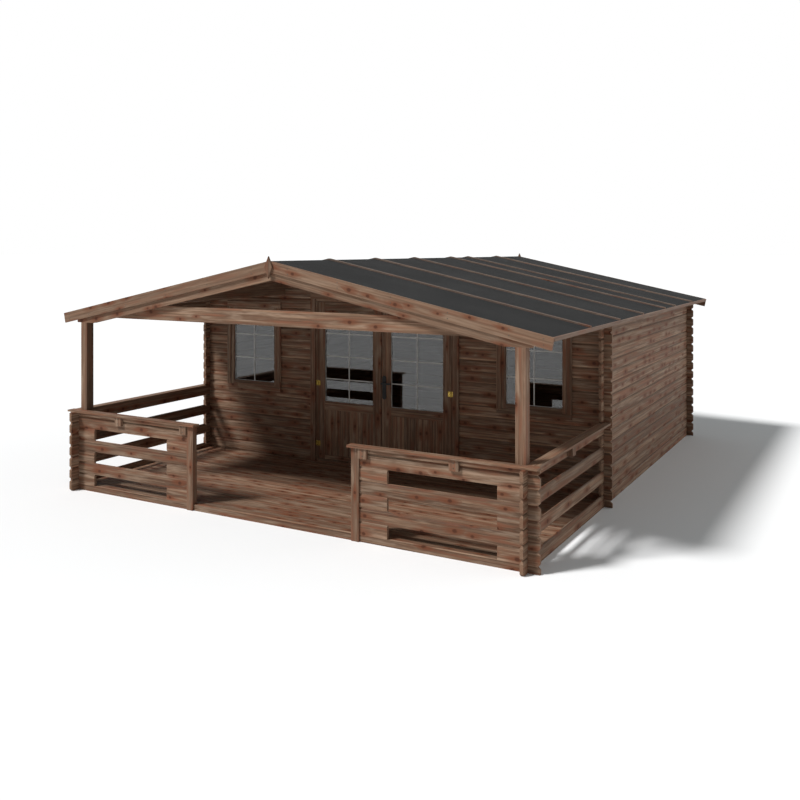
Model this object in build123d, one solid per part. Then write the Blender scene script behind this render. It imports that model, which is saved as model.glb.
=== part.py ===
from build123d import *
import os
from math import cos, radians, sin, tan

# A garden log cabin: a square room of notched logs, a low gable roof and a railed veranda in
# front of a glazed double door. Millimetres, X along the front, Y to the back, Z up.
# The origin is on the ground, in the middle of the whole outline.

# Logs
log_height = 114.0
log_thickness = 28.0
log_chamfer_depth = 9.0
log_chamfer_height = 18.0
log_projection = 96.0
wall_log_projection = 78.0
end_notch = 21.0
tooth_share = 0.5

# Main outline
wall_width = 4875.0
veranda_depth = 1981.0
cabin_depth = 3779.0
roof_rear_overhang = 208.0

# Roof
eave_overhang = 204.5
roof_pitch = 11.87
ridge_height = 2337.0
barge_width = 100.0
barge_thickness = 20.0
barge_setback = 8.0
barge_upstand = 1.0
felt_thickness = 3.0
roof_board_thickness = 18.0
eave_board_thickness = 16.0
eave_board_height = 31.0
batten_width = 40.0
batten_thickness = 14.0
batten_shares = (0.1616, 0.3092, 0.4559, 0.6164, 0.7017, 0.8574)
finial_height = 200.0
finial_width = 90.0
finial_thickness = 18.0
finial_rise = 42.0
finial_bevel = 4.0
roof_joint = 0.6

# Truss over the veranda, and the purlins
post_size = 84.0
rafter_seat = 93.5
rafter_depth = 148.0
rafter_thickness = 42.0
rafter_tail = 24.0
tie_height = 140.0
tie_drop = 29.0
ridge_purlin_depth = 140.0
side_purlin_depth = 120.0
purlin_width = 45.0
side_purlin_share = 0.5374

# Balustrade
rail_height = 786.0
slot_margin = 265.0
slot_corner = 249.5
entrance_half = 873.0
entrance_post_width = 74.0
entrance_post_depth = 56.0
groove_depth = 40.0
cap_thickness = 18.0
cap_width = 84.0
cap_overhang = 42.0
cap_end_reach = 90.0
side_cap_overhang = 70.0
cap_entrance_overhang = 30.0
bracket_width = 84.0
bracket_height = 86.0
bracket_thickness = 28.0
side_bracket_thickness = 50.0
bracket_corner = 649.5

# Floor
floor_thickness = 19.0
floor_board_width = 98.0
floor_groove = 3.0
bearer_width = 44.0
bearer_count = 9

# Double door
leaf_width = 824.0
leaf_thickness = 40.0
leaf_bottom = 92.0
leaf_rise = 67.2
meeting_gap = 7.0
door_gap = 5.0
hinge_stile = 90.0
meeting_stile = 109.0
top_rail = 95.0
mid_rail = 92.0
bottom_rail = 50.0
lower_panel_top = 648.0
panel_thickness = 20.0
panel_boards = 4
panel_groove = 4.0
glass_thickness = 6.0
glass_bite = 8.0
jamb_width = 42.0
jamb_depth = 64.0
stop_width = 15.0
casing_thickness = 17.0
door_casing_width = 65.0
door_casing_reveal = 26.0
threshold_nosing = 10.0

# Door hinges and handle
barrel_radius = 6.5
barrel_length = 60.0
hinge_flap_width = 27.0
hinge_flap_height = 54.0
hinge_flap_thickness = 3.0
hinge_clearance = 0.4
hinge_low_margin = 172.0
hinge_high_margin = 233.0
hinge_count = 3
handle_inset = 30.0
plate_width = 44.0
plate_height = 254.0
plate_thickness = 8.0
plate_bottom = 822.0
lever_height = 1000.0
lever_length = 118.0
lever_bar_height = 18.0
lever_bar_thickness = 13.0
lever_reach = 54.0
spindle_radius = 7.0
spindle_clearance = 0.3

# Windows
window_glass_width = 590.0
window_drop = 70.0
window_glass_bottom = 894.0
window_corner = 702.5
sash_width = 48.0
sash_stand = 8.0
window_casing_width = 49.0
window_head_casing = 67.0

# One overrun for every cut
overrun = 50.0

# Worked-out places
half_log = log_height / 2
tooth = log_height * tooth_share
pitch_angle = radians(roof_pitch)
slope = tan(pitch_angle)
object_depth = log_projection + veranda_depth + cabin_depth + roof_rear_overhang + finial_thickness
y_front = log_projection - object_depth / 2
y_wall = y_front + veranda_depth
y_rear = y_wall + cabin_depth
y_roof_front = y_front + barge_setback
y_roof_back = y_rear + roof_rear_overhang
y_deck_front = y_roof_front + barge_thickness
y_deck_back = y_roof_back - barge_thickness
x_wall = wall_width / 2
x_inner = x_wall - log_thickness
x_log_end = x_wall + log_projection
x_wall_log_end = x_wall + wall_log_projection
roof_half_width = x_wall + eave_overhang
eave_height = ridge_height - slope * roof_half_width
x_deck_edge = roof_half_width - eave_board_thickness
felt_ridge = ridge_height - barge_upstand
deck_ridge = felt_ridge - felt_thickness / cos(pitch_angle)
under_ridge = deck_ridge - roof_board_thickness / cos(pitch_angle)
floor_top = half_log
cap_top = rail_height + cap_thickness
y_truss_back = y_deck_front + rafter_thickness
rafter_low_ridge = under_ridge - rafter_depth / cos(pitch_angle)
x_seat = x_inner - post_size - rafter_seat
post_top = rafter_low_ridge - slope * x_seat
tie_bottom = eave_height - tie_drop
side_purlin_reach = side_purlin_share * x_wall
leaf_top = eave_height + leaf_rise
x_jamb = meeting_gap / 2 + leaf_width + door_gap
x_door_opening = x_jamb + jamb_width
door_head_bottom = leaf_top + door_gap
door_opening_top = door_head_bottom + jamb_width
glass_bottom = lower_panel_top + mid_rail
glass_top = leaf_top - top_rail
x_hinge = meeting_gap / 2 + leaf_width + door_gap / 2
y_hinge = y_wall - hinge_flap_thickness - barrel_radius / 2
x_handle = meeting_gap / 2 + handle_inset
window_glass_height = eave_height - window_drop - window_glass_bottom
window_centre = x_wall - window_corner


def block(x, y, z):
    """A box between the given pairs of X, Y and Z."""
    size = Box(x[1] - x[0], y[1] - y[0], z[1] - z[0], align=(Align.MIN, Align.MIN, Align.MIN))
    return Pos(x[0], y[0], z[0]) * size


def along_x(outline, x):
    """An outline of (y, z) points, drawn out along X."""
    plane = Plane(origin=(x[0], 0, 0), x_dir=(0, 1, 0), z_dir=(1, 0, 0))
    return extrude(plane * make_face(Polyline(*outline, close=True)), amount=x[1] - x[0])


def along_y(outline, y):
    """An outline of (x, z) points, drawn out along Y."""
    plane = Plane(origin=(0, y[1], 0), x_dir=(1, 0, 0), z_dir=(0, -1, 0))
    return extrude(plane * make_face(Polyline(*outline, close=True)), amount=y[1] - y[0])


def other_side(shape):
    """The same piece on the left of the cabin."""
    return mirror(shape, about=Plane.YZ)


def both_sides(shape):
    """A piece of the right side and its twin, as one node of separate solids."""
    return Compound(children=[*shape.solids(), *other_side(shape).solids()])


def roof_line(ridge, x):
    """Height of a roof plane at a distance from the ridge."""
    return ridge - slope * abs(x)


def joints_of(first, bottom, top):
    """Heights of the joints between the logs of a wall."""
    rows = range(int((top - first) / log_height) + 1)
    heights = [first + row * log_height for row in rows]
    return [z for z in heights if bottom + log_chamfer_height < z < top - log_chamfer_height]


def log_stack(face, bottom, top, joints):
    """Section through a stack of logs, with a groove along each joint on both faces."""
    back = face + log_thickness
    near = [(face, bottom)]
    far = [(back, bottom)]
    for z in joints:
        low = z - log_chamfer_height
        high = z + log_chamfer_height
        near += [(face, low), (face + log_chamfer_depth, z), (face, high)]
        far += [(back, low), (back - log_chamfer_depth, z), (back, high)]
    return near + [(face, top), (back, top)] + far[::-1]


def end_cuts(end, outward, joints):
    """Outlines that soften the log ends where two logs meet."""
    cuts = []
    for z in joints:
        tip = end - outward * end_notch
        past = end + outward * overrun
        cuts.append([(tip, z), (end, z + end_notch), (past, z + end_notch),
                     (past, z - end_notch), (end, z - end_notch)])
    return cuts


def crossing_cuts(x, y, first, top):
    """Notches that leave room for the teeth of the wall that crosses at this place."""
    rows = range(int((top - first) / log_height) + 2)
    lows = [first + row * log_height - tooth / 2 for row in rows]
    return [block(x, y, (low, low + tooth)) for low in lows]


# Logs along X start with a half log, so their joints and teeth lie half a row higher.
x_joint_first = half_log
y_joint_first = log_height


def log_wall_x(face, x, bottom, top, end_sides):
    """A wall of logs along X, notched where the side walls cross it."""
    joints = joints_of(x_joint_first, bottom, top)
    y = (face - overrun, face + log_thickness + overrun)
    wall = along_x(log_stack(face, bottom, top, joints), x)
    softened = {x_joint_first, *joints}
    cuts = []
    for side in end_sides:
        end = x[1] if side > 0 else x[0]
        cross = sorted((side * x_inner, side * x_wall))
        cuts += crossing_cuts(cross, y, half_log, top)
        cuts += [along_y(cut, y) for cut in end_cuts(end, side, softened)]
    return wall - cuts


def log_wall_y(y, top, crossings, end_sides):
    """A wall of logs along Y on the right side, notched where the other walls cross it."""
    joints = joints_of(y_joint_first, 0, top)
    x = (x_inner - overrun, x_wall + overrun)
    wall = along_y(log_stack(x_inner, 0, top, joints), y)
    cuts = []
    for face in crossings:
        cuts += crossing_cuts(x, (face, face + log_thickness), 0, top)
    for end, outward in end_sides:
        cuts += [along_x(cut, x) for cut in end_cuts(end, outward, [0, *joints])]
    return wall - cuts


def over_roof(y):
    """Everything above the roof boards' lower face, to trim the walls to the slope."""
    side = x_log_end + overrun
    low = roof_line(under_ridge, side)
    high = ridge_height + overrun
    outline = [(0, under_ridge), (side, low), (side, high), (-side, high), (-side, low)]
    return along_y(outline, y)


def purlin_sockets(y):
    """Sockets for the three purlins where they pass through a gable."""
    sockets = []
    for x, depth in ((0, ridge_purlin_depth), (side_purlin_reach, side_purlin_depth),
                     (-side_purlin_reach, side_purlin_depth)):
        bottom = roof_line(under_ridge, x) - depth
        span = (x - purlin_width / 2, x + purlin_width / 2)
        sockets.append(block(span, y, (bottom, ridge_height + overrun)))
    return sockets


def front_sill():
    """Half log along the whole front, under the balustrade and the entrance."""
    return log_wall_x(y_front, (-x_log_end, x_log_end), 0, half_log, (1, -1))


def front_panel():
    """Front balustrade panel: logs with three long slots, its inner end in the entrance post."""
    start = entrance_half + entrance_post_width - groove_depth
    panel = log_wall_x(y_front, (start, x_log_end), half_log, rail_height, (1,))
    y = (y_front - overrun, y_front + log_thickness + overrun)
    x = (entrance_half + entrance_post_width + slot_margin, x_wall - slot_corner)
    slots = []
    for row in range(int(rail_height / log_height / 2)):
        low = half_log + 2 * row * log_height
        slots.append(block(x, y, (low, low + log_height)))
    return panel - slots


def side_panel():
    """Side balustrade panel: rails with open rows between, closed by short logs at the corner."""
    end = y_wall - wall_log_projection
    panel = log_wall_y((y_front - log_projection, end), rail_height, (y_front,),
                       ((y_front - log_projection, -1),))
    x = (x_inner - overrun, x_wall + overrun)
    start = y_front + log_thickness + log_projection
    gaps = []
    for row in range(int(rail_height / log_height / 2)):
        low = (2 * row + 1) * log_height
        gaps.append(block(x, (start, end + overrun), (low, low + log_height)))
    return panel - gaps


def entrance_post():
    """Grooved post at the inner end of a front panel, on the floor and over the sill's face."""
    middle = y_front + log_thickness / 2
    x = (entrance_half, entrance_half + entrance_post_width)
    y = (middle - entrance_post_depth / 2, middle + entrance_post_depth / 2)
    log = (y_front, y_front + log_thickness)
    groove = block((x[1] - groove_depth, x[1] + overrun), log, (0, rail_height))
    foot = block((x[0] - overrun, x[1] + overrun), (y_front, y[1] + overrun), (-overrun, floor_top))
    return block(x, y, (0, rail_height)) - [groove, foot]


def veranda_post():
    """Square post inside a veranda corner, from the floor to the rafter's seat."""
    y = (y_deck_front, y_deck_front + post_size)
    return block((x_inner - post_size, x_inner), y, (floor_top, post_top))


def front_cap():
    """Flat handrail board on a front panel, let round the veranda post."""
    x = (entrance_half - cap_entrance_overhang, x_wall + cap_end_reach)
    y = (y_front - cap_overhang, y_front - cap_overhang + cap_width)
    return block(x, y, (rail_height, cap_top)) - veranda_post()


def side_cap():
    """Flat handrail board on a side panel, carried on past the wall's log ends to the front wall."""
    x = (x_inner, x_wall + side_cap_overhang)
    z = (rail_height, cap_top)
    log_ends = block((x_inner - overrun, x_wall), (y_wall - wall_log_projection, y_wall + overrun), z)
    return block(x, (y_front - cap_overhang + cap_width, y_wall), z) - log_ends


def cap_brackets():
    """Small blocks under the overhang of the handrail boards on the right side."""
    z = (rail_height - bracket_height, rail_height)
    first = entrance_half + entrance_post_width
    blocks = []
    for start in (first, x_wall - bracket_corner):
        y = (y_front - bracket_thickness, y_front)
        blocks.append(block((start, start + bracket_width), y, z))
    middle = (y_front + y_wall - wall_log_projection) / 2
    y = (middle - bracket_width / 2, middle + bracket_width / 2)
    blocks.append(block((x_wall, x_wall + side_bracket_thickness), y, z))
    return Compound(children=blocks)


def side_wall():
    """Side wall of the room, its logs running past both corners, trimmed to the roof."""
    y = (y_wall - wall_log_projection, y_rear + wall_log_projection)
    wall = log_wall_y(y, ridge_height, (y_wall, y_rear - log_thickness), ((y[0], -1), (y[1], 1)))
    return wall - over_roof((y[0] - overrun, y[1] + overrun))


def gable_wall(face):
    """A gable wall over the whole width, trimmed to the roof and socketed for the purlins."""
    wall = log_wall_x(face, (-x_wall_log_end, x_wall_log_end), 0, ridge_height, (1, -1))
    y = (face - overrun, face + log_thickness + overrun)
    return wall - [over_roof(y), *purlin_sockets(y)]


def window_opening():
    """Span in X and Z that a window takes out of the front wall, on the right side."""
    half = window_glass_width / 2 + sash_width
    low = window_glass_bottom - sash_width
    high = window_glass_bottom + window_glass_height + sash_width
    return (window_centre - half, window_centre + half), (low, high)


def front_wall_pieces():
    """The front wall with its windows and doorway, split beside, over and under the doorway."""
    y = (y_wall - overrun, y_wall + log_thickness + overrun)
    x, z = window_opening()
    window = block(x, y, z)
    doorway = block((-x_door_opening, x_door_opening), y, (half_log, door_opening_top))
    wall = gable_wall(y_wall) - [window, other_side(window), doorway]
    sockets = roof_line(under_ridge, side_purlin_reach) - side_purlin_depth
    gable_row = half_log + int((sockets - log_chamfer_height - half_log) / log_height) * log_height
    side = block((x_door_opening, x_wall_log_end + overrun), y, (0, gable_row))
    over = block((-x_wall_log_end, x_wall_log_end), y, (gable_row, ridge_height + overrun))
    under = block((-x_door_opening, x_door_opening), y, (0, half_log))
    return wall & other_side(side), wall & side, wall & over, wall & under


def floor_slab(y):
    """Grooved floor boards along X between the side walls."""
    count = round((y[1] - y[0]) / floor_board_width)
    step = (y[1] - y[0]) / count
    outline = [(y[0], floor_top), (y[0], floor_top - floor_thickness),
               (y[1], floor_top - floor_thickness), (y[1], floor_top)]
    for board in range(count - 1, 0, -1):
        joint = y[0] + board * step
        outline += [(joint + floor_groove, floor_top), (joint, floor_top - floor_groove),
                    (joint - floor_groove, floor_top)]
    return along_x(outline, (-x_inner, x_inner))


def floor_bearers(spans):
    """Bearers along Y that carry the floor boards on the ground."""
    step = (2 * x_inner - bearer_width) / (bearer_count - 1)
    z = (0, floor_top - floor_thickness)
    bearers = []
    for y in spans:
        for number in range(bearer_count):
            start = number * step - x_inner
            bearers.append(block((start, start + bearer_width), y, z))
    return Compound(children=bearers)


def rafter():
    """Raking timber of the veranda truss, with a level seat on the post."""
    end = x_wall + rafter_tail
    start = roof_joint / 2
    outline = [(start, roof_line(under_ridge, start)), (end, roof_line(under_ridge, end)),
               (end, post_top), (x_seat, post_top), (start, roof_line(rafter_low_ridge, start))]
    return along_y(outline, (y_deck_front, y_truss_back))


def tie_beam():
    """Level beam behind the rafters, its top corners cut to the slope."""
    y = (y_truss_back, y_deck_front + post_size)
    beam = block((-x_inner, x_inner), y, (tie_bottom, tie_bottom + tie_height))
    return beam - over_roof((y[0] - overrun, y[1] + overrun))


def purlin(x, depth):
    """Roof timber along Y from the truss to the rear barge boards, bevelled to the slope."""
    y = (y_truss_back, y_deck_back)
    bottom = roof_line(under_ridge, x) - depth
    span = (x - purlin_width / 2, x + purlin_width / 2)
    timber = block(span, y, (bottom, ridge_height))
    return timber - over_roof((y[0] - overrun, y[1] + overrun))


def eave_log():
    """Top log of the right wall, carried on over the veranda to the truss, trimmed to the roof."""
    rows = int((roof_line(under_ridge, x_wall) - half_log) / log_height)
    y = (y_truss_back, y_wall - wall_log_projection)
    timber = block((x_inner, x_wall), y, (rows * log_height, ridge_height))
    return timber - over_roof((y[0] - overrun, y[1] + overrun))


def side_purlins():
    """Roof timbers of the right slope beside the ridge purlin."""
    return Compound(children=[purlin(side_purlin_reach, side_purlin_depth), eave_log()])


def roof_boards():
    """Boarding of the right slope."""
    start = roof_joint / 2
    outline = [(start, roof_line(under_ridge, start)), (x_deck_edge, roof_line(under_ridge, x_deck_edge)),
               (x_deck_edge, roof_line(deck_ridge, x_deck_edge)), (start, roof_line(deck_ridge, start))]
    return along_y(outline, (y_deck_front, y_deck_back))


def roof_felt():
    """Felt over both slopes, as one folded sheet."""
    edge = x_deck_edge
    outline = [(0, deck_ridge), (edge, roof_line(deck_ridge, edge)), (edge, roof_line(felt_ridge, edge)),
               (0, felt_ridge), (-edge, roof_line(felt_ridge, edge)), (-edge, roof_line(deck_ridge, edge))]
    return along_y(outline, (y_deck_front, y_deck_back))


def roof_battens():
    """Thin battens from ridge to eave on the right slope, over the seams of the felt."""
    start = roof_joint / 2
    top_ridge = felt_ridge + batten_thickness / cos(pitch_angle)
    outline = [(start, roof_line(felt_ridge, start)), (x_deck_edge, roof_line(felt_ridge, x_deck_edge)),
               (x_deck_edge, roof_line(top_ridge, x_deck_edge)), (start, roof_line(top_ridge, start))]
    battens = []
    for share in batten_shares:
        middle = y_roof_front + share * (y_roof_back - y_roof_front)
        y = (middle - batten_width / 2, middle + batten_width / 2)
        battens.append(along_y(outline, y))
    return Compound(children=battens)


def barge_board(y):
    """Raking board that covers the roof's edge on the right slope, cut square at the eave."""
    start = roof_joint / 2
    eave = roof_line(ridge_height, roof_half_width)
    foot = (roof_half_width - barge_width * sin(pitch_angle), eave - barge_width * cos(pitch_angle))
    low_ridge = ridge_height - barge_width / cos(pitch_angle)
    outline = [(start, roof_line(ridge_height, start)), (roof_half_width, eave), foot,
               (start, roof_line(low_ridge, start))]
    return along_y(outline, y)


def finial(face, outward):
    """Diamond board over the joint of the barge boards, its front edges bevelled."""
    top = ridge_height + finial_rise
    middle = top - finial_height / 2
    outline = [(0, top), (finial_width / 2, middle), (0, top - finial_height), (-finial_width / 2, middle)]
    y = sorted((face, face + outward * finial_thickness))
    board = along_y(outline, y)
    front = board.faces().sort_by(Axis.Y)[-1 if outward > 0 else 0]
    return chamfer(front.edges(), finial_bevel)


def eave_board():
    """Narrow board along the lower edge of the right slope."""
    top = roof_line(felt_ridge, x_deck_edge)
    z = (top - eave_board_height, top)
    return block((x_deck_edge, roof_half_width), (y_deck_front, y_deck_back), z)


def door_jamb():
    """Right jamb of the doorway with its stop and its casings on both faces of the wall."""
    x_stop = x_jamb - stop_width
    x_casing = x_jamb + door_casing_reveal
    casing_end = x_casing + door_casing_width
    head_casing_bottom = door_head_bottom + door_casing_reveal
    back = y_wall + log_thickness
    stop_front = y_wall + leaf_thickness + door_gap
    jamb = block((x_jamb, x_door_opening), (y_wall, y_wall + jamb_depth), (half_log, door_head_bottom))
    stop = block((x_stop, x_jamb), (stop_front, y_wall + jamb_depth), (half_log, door_head_bottom))
    outer = block((x_casing, casing_end), (y_wall - casing_thickness, y_wall),
                  (half_log, head_casing_bottom))
    inner = block((x_door_opening, casing_end), (back, back + casing_thickness),
                  (half_log, head_casing_bottom))
    return jamb + stop + outer + inner


def door_head():
    """Head of the doorway with its stop and casings."""
    x_casing = x_jamb + door_casing_reveal + door_casing_width
    casing_bottom = door_head_bottom + door_casing_reveal
    casing = (casing_bottom, casing_bottom + door_casing_width)
    back = y_wall + log_thickness
    stop_front = y_wall + leaf_thickness + door_gap
    x_stop = x_jamb - stop_width
    head = block((-x_door_opening, x_door_opening), (y_wall, y_wall + jamb_depth),
                 (door_head_bottom, door_opening_top))
    stop = block((-x_stop, x_stop), (stop_front, y_wall + jamb_depth),
                 (door_head_bottom - stop_width, door_head_bottom))
    outer = block((-x_casing, x_casing), (y_wall - casing_thickness, y_wall), casing)
    inner = block((-x_casing, x_casing), (back, back + casing_thickness), casing)
    return head + stop + outer + inner


def door_threshold():
    """Threshold under the leaves, on the sill log and the floor."""
    x_stop = x_jamb - stop_width
    stop_front = y_wall + leaf_thickness + door_gap
    z = (floor_top, leaf_bottom - door_gap)
    front = block((-x_jamb, x_jamb), (y_wall - threshold_nosing, stop_front), z)
    return front + block((-x_stop, x_stop), (stop_front, y_wall + jamb_depth), z)


def door_leaf():
    """Right leaf: stiles and rails, a panel of upright boards below, an opening for glass above."""
    x = (meeting_gap / 2, meeting_gap / 2 + leaf_width)
    y = (y_wall, y_wall + leaf_thickness)
    field = (x[0] + meeting_stile, x[1] - hinge_stile)
    panel_bottom = leaf_bottom + bottom_rail
    through = (y[0] - overrun, y[1] + overrun)
    leaf = block(x, y, (leaf_bottom, leaf_top))
    leaf -= block(field, through, (glass_bottom, glass_top))
    leaf -= block(field, through, (panel_bottom, lower_panel_top))
    middle = (y[0] + y[1]) / 2
    panel_y = (middle - panel_thickness / 2, middle + panel_thickness / 2)
    panel = block(field, panel_y, (panel_bottom, lower_panel_top))
    step = (field[1] - field[0]) / panel_boards
    grooves = []
    for number in range(1, panel_boards):
        joint = field[0] + number * step
        for face in panel_y:
            corners = [(joint - panel_groove, face), (joint, face - panel_groove),
                       (joint + panel_groove, face), (joint, face + panel_groove)]
            section = Plane.XY.offset(panel_bottom) * make_face(Polyline(*corners, close=True))
            grooves.append(extrude(section, amount=lower_panel_top - panel_bottom))
    return leaf + (panel - grooves) - door_glass()


def door_glass():
    """Pane of the right leaf, let into its stiles and rails."""
    x = (meeting_gap / 2 + meeting_stile - glass_bite,
         meeting_gap / 2 + leaf_width - hinge_stile + glass_bite)
    middle = y_wall + leaf_thickness / 2
    y = (middle - glass_thickness / 2, middle + glass_thickness / 2)
    return block(x, y, (glass_bottom - glass_bite, glass_top + glass_bite))


def hinge_places():
    """Heights of the middle of each hinge of a leaf."""
    lowest = leaf_bottom + hinge_low_margin
    spacing = (leaf_top - hinge_high_margin - lowest) / (hinge_count - 1)
    return [lowest + number * spacing for number in range(hinge_count)]


def leaf_hinges():
    """Barrels and leaf flaps of the right leaf's hinges."""
    hinges = []
    for z in hinge_places():
        barrel = Pos(x_hinge, y_hinge, z) * Cylinder(barrel_radius, barrel_length)
        y = (y_wall - hinge_flap_thickness, y_wall)
        flap = block((x_hinge - barrel_radius - hinge_flap_width, x_hinge - door_gap / 2), y,
                     (z - hinge_flap_height / 2, z + hinge_flap_height / 2))
        clear = block((x_hinge - barrel_radius, x_hinge + barrel_radius), (y_wall, y_wall + overrun),
                      (z - barrel_length, z + barrel_length))
        hinges.append(barrel + flap - clear)
    return Compound(children=[solid for hinge in hinges for solid in hinge.solids()])


def jamb_flaps():
    """Flaps of the right leaf's hinges on the jamb."""
    start = x_hinge + barrel_radius + hinge_clearance
    y = (y_wall - hinge_flap_thickness, y_wall)
    flaps = []
    for z in hinge_places():
        height = (z - hinge_flap_height / 2, z + hinge_flap_height / 2)
        flaps.append(block((start, x_jamb + door_casing_reveal), y, height))
    return Compound(children=flaps)


def handle_plate(y):
    """Long plate of the lever handle, with round ends and a hole for the spindle."""
    middle = plate_bottom + plate_height / 2
    plane = Plane(origin=(x_handle, y[1], middle), x_dir=(1, 0, 0), z_dir=(0, -1, 0))
    plate = extrude(plane * SlotOverall(plate_height, plate_width, rotation=90), amount=y[1] - y[0])
    return plate - spindle_bore()


def spindle_bore():
    """Hole for the spindle through the leaf and both plates."""
    length = leaf_thickness + 2 * plate_thickness + 2 * overrun
    middle = y_wall + leaf_thickness / 2
    bore = Cylinder(spindle_radius + spindle_clearance, length)
    return Pos(x_handle, middle, lever_height) * Rot(90, 0, 0) * bore


def lever_handle():
    """Lever on both faces of the leaf, joined by the spindle."""
    front = y_wall - lever_reach
    back = y_wall + leaf_thickness + lever_reach
    middle = (front + back) / 2
    spindle = Cylinder(spindle_radius, back - front)
    lever = Pos(x_handle, middle, lever_height) * Rot(90, 0, 0) * spindle
    for y in ((front - lever_bar_thickness, front), (back, back + lever_bar_thickness)):
        plane = Plane(origin=(x_handle - lever_bar_height / 2, y[1], lever_height),
                      x_dir=(1, 0, 0), z_dir=(0, -1, 0))
        bar = SlotOverall(lever_length, lever_bar_height, align=(Align.MIN, Align.CENTER))
        lever += extrude(plane * bar, amount=y[1] - y[0])
    return lever


def window_frame():
    """Sash and casings of the right window."""
    x, z = window_opening()
    glass_x = (x[0] + sash_width, x[1] - sash_width)
    glass_z = (z[0] + sash_width, z[1] - sash_width)
    back = y_wall + log_thickness
    through = (y_wall - overrun, back + overrun)
    sash = block(x, (y_wall - sash_stand, back + sash_stand), z) - block(glass_x, through, glass_z)
    outer_x = (x[0] - window_casing_width, x[1] + window_casing_width)
    outer_z = (z[0] - window_casing_width, z[1] + window_head_casing)
    ring = block(outer_x, (y_wall - casing_thickness, back + casing_thickness), outer_z)
    wall = block((outer_x[0] - overrun, outer_x[1] + overrun), (y_wall, back),
                 (outer_z[0] - overrun, outer_z[1] + overrun))
    return ring - block(x, through, z) - wall + sash - window_glass()


def window_glass():
    """Pane of the right window, let into its sash."""
    half = window_glass_width / 2 + glass_bite
    middle = y_wall + log_thickness / 2
    y = (middle - glass_thickness / 2, middle + glass_thickness / 2)
    z = (window_glass_bottom - glass_bite, window_glass_bottom + window_glass_height + glass_bite)
    return block((window_centre - half, window_centre + half), y, z)


veranda_floor_span = (y_front + log_thickness, y_wall)
cabin_floor_span = (y_wall + log_thickness, y_rear - log_thickness)
wall_left, wall_right, wall_over, wall_under = front_wall_pieces()
leaf = door_leaf()
outer_plate = handle_plate((y_wall - plate_thickness, y_wall))
inner_plate = handle_plate((y_wall + leaf_thickness, y_wall + leaf_thickness + plate_thickness))

nodes = {
    "front_sill": front_sill(),
    "front_right_balustrade": front_panel(),
    "front_left_balustrade": other_side(front_panel()),
    "right_side_balustrade": side_panel(),
    "left_side_balustrade": other_side(side_panel()),
    "entrance_posts": both_sides(entrance_post()),
    "front_caps": both_sides(front_cap()),
    "side_caps": both_sides(side_cap()),
    "cap_brackets": both_sides(cap_brackets()),
    "right_wall": side_wall(),
    "left_wall": other_side(side_wall()),
    "back_wall": gable_wall(y_rear - log_thickness),
    "front_wall_left": wall_left,
    "front_wall_right": wall_right,
    "front_gable": wall_over,
    "door_sill": wall_under,
    "veranda_floor": floor_slab(veranda_floor_span),
    "cabin_floor": floor_slab(cabin_floor_span),
    "floor_bearers": floor_bearers((veranda_floor_span, cabin_floor_span)),
    "veranda_posts": both_sides(veranda_post()),
    "rafters": both_sides(rafter()),
    "tie_beam": tie_beam(),
    "ridge_purlin": purlin(0, ridge_purlin_depth),
    "side_purlins": both_sides(side_purlins()),
    "roof_boards": both_sides(roof_boards()),
    "roof_felt": roof_felt(),
    "roof_battens": both_sides(roof_battens()),
    "front_barge_boards": both_sides(barge_board((y_roof_front, y_deck_front))),
    "back_barge_boards": both_sides(barge_board((y_deck_back, y_roof_back))),
    "finials": Compound(children=[finial(y_roof_front, -1), finial(y_roof_back, 1)]),
    "eave_boards": both_sides(eave_board()),
    "door_jambs": both_sides(door_jamb()),
    "door_head": door_head(),
    "door_threshold": door_threshold(),
    "window_frames": both_sides(window_frame()),
    "window_glass": both_sides(window_glass()),
    "jamb_hinge_flaps": both_sides(jamb_flaps()),
    "left_door_leaf": other_side(leaf),
    "left_door_glass": other_side(door_glass()),
    "left_door_hinges": other_side(leaf_hinges()),
    "right_door_leaf": leaf - spindle_bore(),
    "right_door_glass": door_glass(),
    "right_door_hinges": leaf_hinges(),
    "handle_plates": Compound(children=[outer_plate, inner_plate]),
    "lever_handle": lever_handle(),
}

os.makedirs("parts", exist_ok=True)
for name, shape in nodes.items():
    export_step(shape, f"parts/{name}.step")
    print(name, len(shape.solids()))
print("hinge axes", x_hinge, y_hinge, "lever", x_handle, lever_height)
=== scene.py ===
# %% [markdown]
# # A garden log cabin
#
# The solids of the cabin come from the imported frame: logs, posts, roof, doors and windows. This lesson gives
# them their finish and adds the small pieces that the frame leaves out.

# %% Load the frame
from functools import partial
from math import cos, radians, sin, tan

import bpy
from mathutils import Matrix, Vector


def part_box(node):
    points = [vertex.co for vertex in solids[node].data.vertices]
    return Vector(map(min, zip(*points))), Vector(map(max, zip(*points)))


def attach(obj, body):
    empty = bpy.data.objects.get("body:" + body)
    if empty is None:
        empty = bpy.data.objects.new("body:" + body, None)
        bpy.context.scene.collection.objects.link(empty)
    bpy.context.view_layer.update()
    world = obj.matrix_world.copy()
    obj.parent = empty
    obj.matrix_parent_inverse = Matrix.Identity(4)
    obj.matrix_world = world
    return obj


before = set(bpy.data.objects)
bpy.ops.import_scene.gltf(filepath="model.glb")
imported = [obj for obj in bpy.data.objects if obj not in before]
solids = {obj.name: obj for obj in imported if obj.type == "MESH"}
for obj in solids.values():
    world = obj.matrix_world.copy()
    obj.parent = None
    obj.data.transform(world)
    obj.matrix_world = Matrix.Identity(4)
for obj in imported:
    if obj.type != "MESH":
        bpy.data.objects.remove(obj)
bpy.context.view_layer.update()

# %% [markdown]
# ## Camera
#
# The cabin is seen from the front right, from a little above the ridge, with its posts upright in the picture.
# A level camera keeps uprights parallel, and a vertical lens shift brings the cabin down into the frame. A
# tilted camera would make the posts lean together.

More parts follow.
